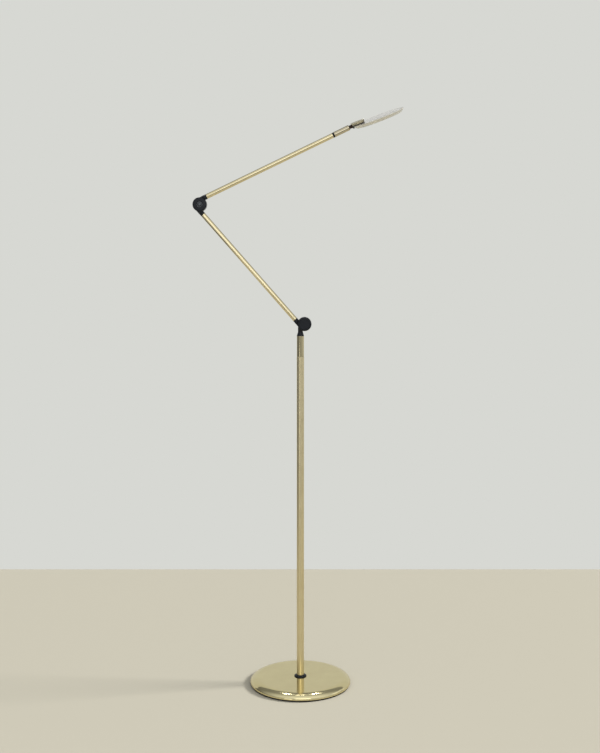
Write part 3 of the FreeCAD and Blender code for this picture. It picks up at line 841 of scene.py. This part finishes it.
def make_barrel():
    barrel = tube(barrel_radius, barrel_bore, barrel_start, barrel_end, barrel_rounding)
    finished(barrel, "brass_barrel", barrel_axis, "head_barrel", barrel_brass_painted_shade,
             "barrel_tube")
    nose = turned([(0, nose_start, 0), (nose_spigot_radius, nose_start, 0),
                   (nose_spigot_radius, barrel_end, 0), (nose_radius, barrel_end, 0),
                   (nose_radius, nose_end, nose_rounding), (0, nose_end, 0)])
    tongue = block((-knuckle_radius, knuckle_radius), (-tongue_half, tongue_half),
                   (barrel_end, knuckle_place + knuckle_radius))
    side = knuckle_radius - LEVEL
    ends = [edge for edge in tongue.edges
            if all(v.co.z > knuckle_place and abs(v.co.x) > side for v in edge.verts)
            and abs(edge.verts[0].co.x - edge.verts[1].co.x) < LEVEL]
    soften(tongue, ends, knuckle_rounding, KNUCKLE_SEGMENTS)
    pin = rod(tongue_pin_hole, -pin_hole_half, pin_hole_half, HOLE_STEPS)
    nose = fused(nose, cut(tongue, laid_back(pin, 0, knuckle_place)))
    finished(nose, "bronze_nose_plug", barrel_axis, "head_barrel", bronze,
             "nose_plug")


# Head

def finger(inset, low, high, top_rounding=0.0):
    """The holder's plan, square behind and round in front, as a solid between two heights."""
    half = holder_half - inset
    bm = block((holder_start + inset, holder_end - inset), (-half, half), (low, high))
    corners = [edge for edge in bm.edges
               if all(v.co.x > holder_half for v in edge.verts)
               and abs(edge.verts[0].co.z - edge.verts[1].co.z) > LEVEL]
    soften(bm, corners, half - holder_end_slack, HOLDER_END_SEGMENTS)
    if top_rounding:
        just_below = high - holder_top_slack
        top = [edge for edge in bm.edges if all(v.co.z > just_below for v in edge.verts)]
        soften(bm, top, top_rounding, HOLDER_TOP_SEGMENTS)
    return bm


def at_clamp_screws(make):
    """Two shapes alike, one at each clamp screw."""
    return [moved(make(), Matrix.Translation((clamp_screw_x, side * clamp_screw_y, 0)))
            for side in (-1, 1)]


def make_holder():
    body = finger(0, holder_bottom, holder_top, holder_rounding)
    room = finger(holder_wall, holder_bottom - PAST, holder_ceiling)
    knuckle_room = block((holder_start - PAST, holder_start + knuckle_room_depth),
                         (-knuckle_room_half, knuckle_room_half),
                         (holder_bottom - PAST, knuckle_room_top))
    finished(cut(body, room, knuckle_room), "brass_light_holder", head_place, "lamp_head",
             holder_brass_painted_shade, "led_holder")


def make_clamp_plate():
    plate = finger(plate_inset, plate_bottom, holder_bottom)
    notch = block((0, plate_notch), (-notch_half, notch_half),
                  (plate_bottom - PAST, holder_bottom + PAST))
    holes = at_clamp_screws(lambda: rod(clamp_hole, plate_hole_low, plate_hole_high, HOLE_STEPS))
    # Its dark brown is painted shade under the holder.
    finished(cut(plate, notch, *holes), "dark_clamp_plate", head_place, "lamp_head", plate_painted_shade,
             "clamp_plate")


def make_fork():
    body = block((fork_front, fork_back), (-fork_half, fork_half), (disc_seat, fork_top),
                 fork_rounding)
    boss = block((fork_front, fork_back), (-cheek_outer, cheek_outer), (0, fork_boss_top))
    tail = block((fork_back - fork_overlap, fork_tail_end), (-fork_tail_half, fork_tail_half),
                 (holder_bottom, holder_ceiling))
    body = fused(body, boss, tail)
    for side in (-1, 1):
        near, far = sorted((side * cheek_inner, side * cheek_outer))
        cheek = block((-knuckle_radius, fork_front + fork_overlap), (near, far),
                      (-knuckle_radius, knuckle_radius))
        ends = [edge for edge in cheek.edges
                if all(v.co.x < 0 for v in edge.verts)
                and abs(edge.verts[0].co.y - edge.verts[1].co.y) > LEVEL]
        soften(cheek, ends, knuckle_rounding, KNUCKLE_SEGMENTS)
        body = fused(body, cheek)
    body = cut(body, laid_back(rod(cheek_pin_hole, -pin_hole_half, pin_hole_half, HOLE_STEPS)))
    finished(body, "bronze_tilt_fork", head_place, "lamp_head", bronze, "tilt_fork")


def make_disc():
    """The clear disc: a bevelled underside, one flat for the light, two countersunk holes."""
    disc = turned([(0, disc_low, 0), (disc_radius - disc_bevel, disc_low, disc_low_rounding),
                   (disc_radius, disc_tip, disc_tip_rounding),
                   (disc_radius, disc_top, disc_top_rounding), (0, disc_top, 0)], FOOT_STEPS)
    moved(disc, Matrix.Translation((disc_centre, 0, 0)))
    beyond_flat = block((disc_cut_start, disc_flat), (-disc_cut_half, disc_cut_half),
                        (disc_low - PAST, disc_top + PAST))
    holes = at_clamp_screws(lambda: rod(clamp_hole, disc_low - PAST, disc_top + PAST, HOLE_STEPS))
    sink_low = disc_low - sink_past
    sink_top = disc_seat + countersink_depth
    sinks = at_clamp_screws(lambda: turned(
        [(0, sink_low, 0), (countersink_radius, sink_low, 0), (countersink_radius, disc_seat, 0),
         (countersink_neck, sink_top, 0), (0, sink_top, 0)], HOLE_STEPS))
    disc = cut(disc, beyond_flat, *holes, *sinks)
    lean = Matrix.Rotation(disc_lean, 4, "X")
    place = head_place @ Matrix.Translation((0, 0, -disc_drop * MM)) @ lean
    piece = finished(disc, "clear_light_disc", place, "lamp_head", acrylic,
                     "light_disc")
    # The rim faces take the beige tint, a painted reflection.
    piece.data.materials.append(sawn_rim_painted_reflection)
    for polygon in piece.data.polygons:
        if abs(polygon.normal.dot(head_up)) < sawn_below:
            polygon.material_index = 1


make_base_cover()
make_base_pad()
make_foot_ring()
make_cord_gland()
make_stem()
make_hinges()
make_arms()
make_swivel_ring()
make_barrel()
make_holder()
make_clamp_plate()
make_fork()
make_disc()

# Finishes of the CAD nodes, by the slot of each
slot_finish = {
    "satin_brass": stem_brass,
    "polished_brass": sleeve_brass_painted_shade,
    "black_moulding": black,
    "dark_bronze": bronze,
    "cast_weight": iron,
    "rubber_pad": rubber,
    "steel": steel,
    "blackened_steel": dark_steel,
    "bearing_plastic": natural,
    "circuit_board": board,
    "spreader_aluminium": spreader,
    "wire_sheath": sheath,
    "clear_acrylic": acrylic,
}
for subpart in frame["record"]["subparts"]:
    node = frame["nodes"][subpart["node"]]
    for place in range(len(node.data.materials)):
        node.data.materials[place] = slot_finish[subpart["material_slot"]]


# Stage, light and camera

def srgb(red, green, blue):
    """A screen colour of 0 to 255 as the linear colour that Blender reads."""
    linear = []
    for value in (red, green, blue):
        share = value / 255
        linear.append(share / 12.92 if share <= 0.04045 else ((share + 0.055) / 1.055) ** 2.4)
    return (*linear, 1)


# The sheets, in metres
floor_colour = srgb(187, 181, 164)
wall_colour = srgb(215, 216, 211)
floor_left = -1.5
floor_right = 3.0
floor_front = -1.5
floor_end = 1.04
wall_left = -6.0
wall_right = 8.6
wall_distance = 3.3
wall_top = 3.1

# The softboxes: name, place, what each faces, width and height, brightness where a mirror shows it
# (1 is white), and whether it lights dull surfaces too
softboxes = [
    ("left ceiling light", (-1.3, 3.2, 7.1), (-1.3, 3.2, 0), (0.5, 0.5), 70.0, False),
    ("ceiling light", (0.02, 2.0, 7.7), (0.02, 2.0, 0), (0.8, 0.4), 12.0, False),
    ("right ceiling light", (1.5, 3.2, 7.1), (1.5, 3.2, 0), (0.5, 0.5), 70.0, False),
    ("side", (3.0, 0.3, 1.1), (0, 0, 0), (2.0, 1.4), 0.5, True),
    ("window", (0.35, -3.8, 1.8), (0, 0, 1.2), (2.4, 1.2), 1.55, True),
    ("strip", (-1.31, -2.69, 0.3), (0, 0, 0.3), (0.9, 0.6), 1.4, True),
]
floor_light_aim = (-1, -0.06, -0.65)
floor_light_spread = math.radians(14)
floor_light_energy = 3.67

# The room's own brightness along an axis: from and to where it changes, and the values there
air_height = (-0.1, 1.0, 0.4, 0.92)
air_left = (0.0, 0.35, 0.5, 0.85)       # up the far left
air_side = (-1.0, 1.0, 0.0, 1.15)       # left to right, where air_left takes the place of the 0
air_depth = (-0.5, 0.35, 1.3, 0.35)
air_colour = (0.94, 0.97, 1.0, 1)

camera_place = (-0.001, -2.698, 1.0538)
camera_tilt = math.radians(90 - 5.87)   # from straight down, so the view dips by 5.87 degrees
camera_lens = 52.95
film_size = 36


def plain_sheet(name, corners, colour, glows):
    """A flat sheet of the studio. If it glows, the camera, metal and glass see its plain colour."""
    bm = bmesh.new()
    bm.faces.new([bm.verts.new(corner) for corner in corners])
    sheet = object_of(bm, name)
    finish = Finish(name)
    finish.set(Base_Color=colour, Roughness=0.9, Specular_IOR_Level=0.1)
    if glows:
        path = finish.node("ShaderNodeLightPath")
        seen = path.outputs["Is Camera Ray"]
        for ray in ("Is Glossy Ray", "Is Transmission Ray"):
            either = finish.node("ShaderNodeMath")
            either.operation = "MAXIMUM"
            finish.link(seen, either.inputs[0])
            finish.link(path.outputs[ray], either.inputs[1])
            seen = either.outputs["Value"]
        glow = finish.node("ShaderNodeEmission")
        glow.inputs["Color"].default_value = colour
        mix = finish.node("ShaderNodeMixShader")
        finish.link(seen, mix.inputs["Fac"])
        finish.link(finish.surface.outputs["BSDF"], mix.inputs[1])
        finish.link(glow.outputs["Emission"], mix.inputs[2])
        finish.link(mix.outputs["Shader"], finish.tree.nodes["Material Output"].inputs["Surface"])
    sheet.data.materials.append(finish.material)
    return sheet


def make_stage():
    """Floor, a sweep that widens behind it, and wall. Returns the floor."""
    floor = plain_sheet("pale_floor", [(floor_left, floor_front, 0), (floor_right, floor_front, 0),
                                       (floor_right, floor_end, 0), (floor_left, floor_end, 0)],
                        floor_colour, False)
    plain_sheet("pale_sweep", [(floor_left, floor_end, 0), (floor_right, floor_end, 0),
                               (wall_right, wall_distance, 0), (wall_left, wall_distance, 0)],
                wall_colour, True)
    plain_sheet("pale_wall", [(wall_left, wall_distance, 0), (wall_right, wall_distance, 0),
                              (wall_right, wall_distance, wall_top),
                              (wall_left, wall_distance, wall_top)], wall_colour, True)
    return floor


def faced(way):
    """The turn that points a light along a direction."""
    return Vector(way).to_track_quat("-Z", "Y").to_euler()


def soft_light(name, place, aim, size, radiance, lights_dull):
    """A softbox of even brightness."""
    lamp = bpy.data.lights.new(name, "AREA")
    lamp.shape = "RECTANGLE"
    lamp.size, lamp.size_y = size
    lamp.energy = radiance * math.pi * size[0] * size[1]
    light = bpy.data.objects.new(name, lamp)
    light.location = place
    light.rotation_euler = faced(Vector(aim) - Vector(place))
    light.visible_diffuse = lights_dull
    bpy.context.scene.collection.objects.link(light)


def floor_light(floor):
    """A far light that reaches only the floor. It lays the stem's soft shadow there."""
    lamp = bpy.data.lights.new("floor light", "SUN")
    lamp.angle = floor_light_spread
    lamp.energy = floor_light_energy
    light = bpy.data.objects.new("floor light", lamp)
    light.rotation_euler = faced(floor_light_aim)
    light.visible_glossy = False
    lit = bpy.data.collections.new("lit by the floor light")
    lit.objects.link(floor)
    light.light_linking.receiver_collection = lit
    bpy.context.scene.collection.objects.link(light)


def make_studio_air():
    """The dim room beyond the sheets: brighter overhead, on the right and on the camera's side."""
    world = bpy.data.worlds.new("studio air")
    world.use_nodes = True
    bpy.context.scene.world = world
    nodes = world.node_tree.nodes
    link = world.node_tree.links.new

    def slope(value, numbers):
        node = nodes.new("ShaderNodeMapRange")
        for socket, number in zip(("From Min", "From Max", "To Min", "To Max"), numbers):
            node.inputs[socket].default_value = number
        link(value, node.inputs["Value"])
        return node

    def product(first, second):
        node = nodes.new("ShaderNodeMath")
        node.operation = "MULTIPLY"
        link(first, node.inputs[0])
        link(second, node.inputs[1])
        return node.outputs["Value"]

    place = nodes.new("ShaderNodeTexCoord")
    axes = nodes.new("ShaderNodeSeparateXYZ")
    link(place.outputs["Generated"], axes.inputs["Vector"])
    height = slope(axes.outputs["Z"], air_height)
    left = slope(axes.outputs["Z"], air_left)
    side = slope(axes.outputs["X"], air_side)
    link(left.outputs["Result"], side.inputs["To Min"])
    depth = slope(axes.outputs["Y"], air_depth)
    strength = product(height.outputs["Result"], side.outputs["Result"])
    whole = product(strength, depth.outputs["Result"])
    link(whole, nodes["Background"].inputs["Strength"])
    nodes["Background"].inputs["Color"].default_value = air_colour


def make_lights(floor):
    for softbox in softboxes:
        soft_light(*softbox)
    floor_light(floor)
    make_studio_air()


def make_camera():
    """The photograph's own view: its distance, height, dip and angle of view were fitted to it."""
    data = bpy.data.cameras.new("camera")
    data.sensor_fit = "VERTICAL"
    data.sensor_height = film_size
    data.sensor_width = film_size
    data.lens = camera_lens
    camera = bpy.data.objects.new("camera", data)
    camera.location = camera_place
    camera.rotation_euler = (camera_tilt, 0, 0)
    bpy.context.scene.collection.objects.link(camera)
    bpy.context.scene.camera = camera


pale_floor = make_stage()
make_lights(pale_floor)
make_camera()
bpy.context.scene.view_settings.view_transform = "Standard"
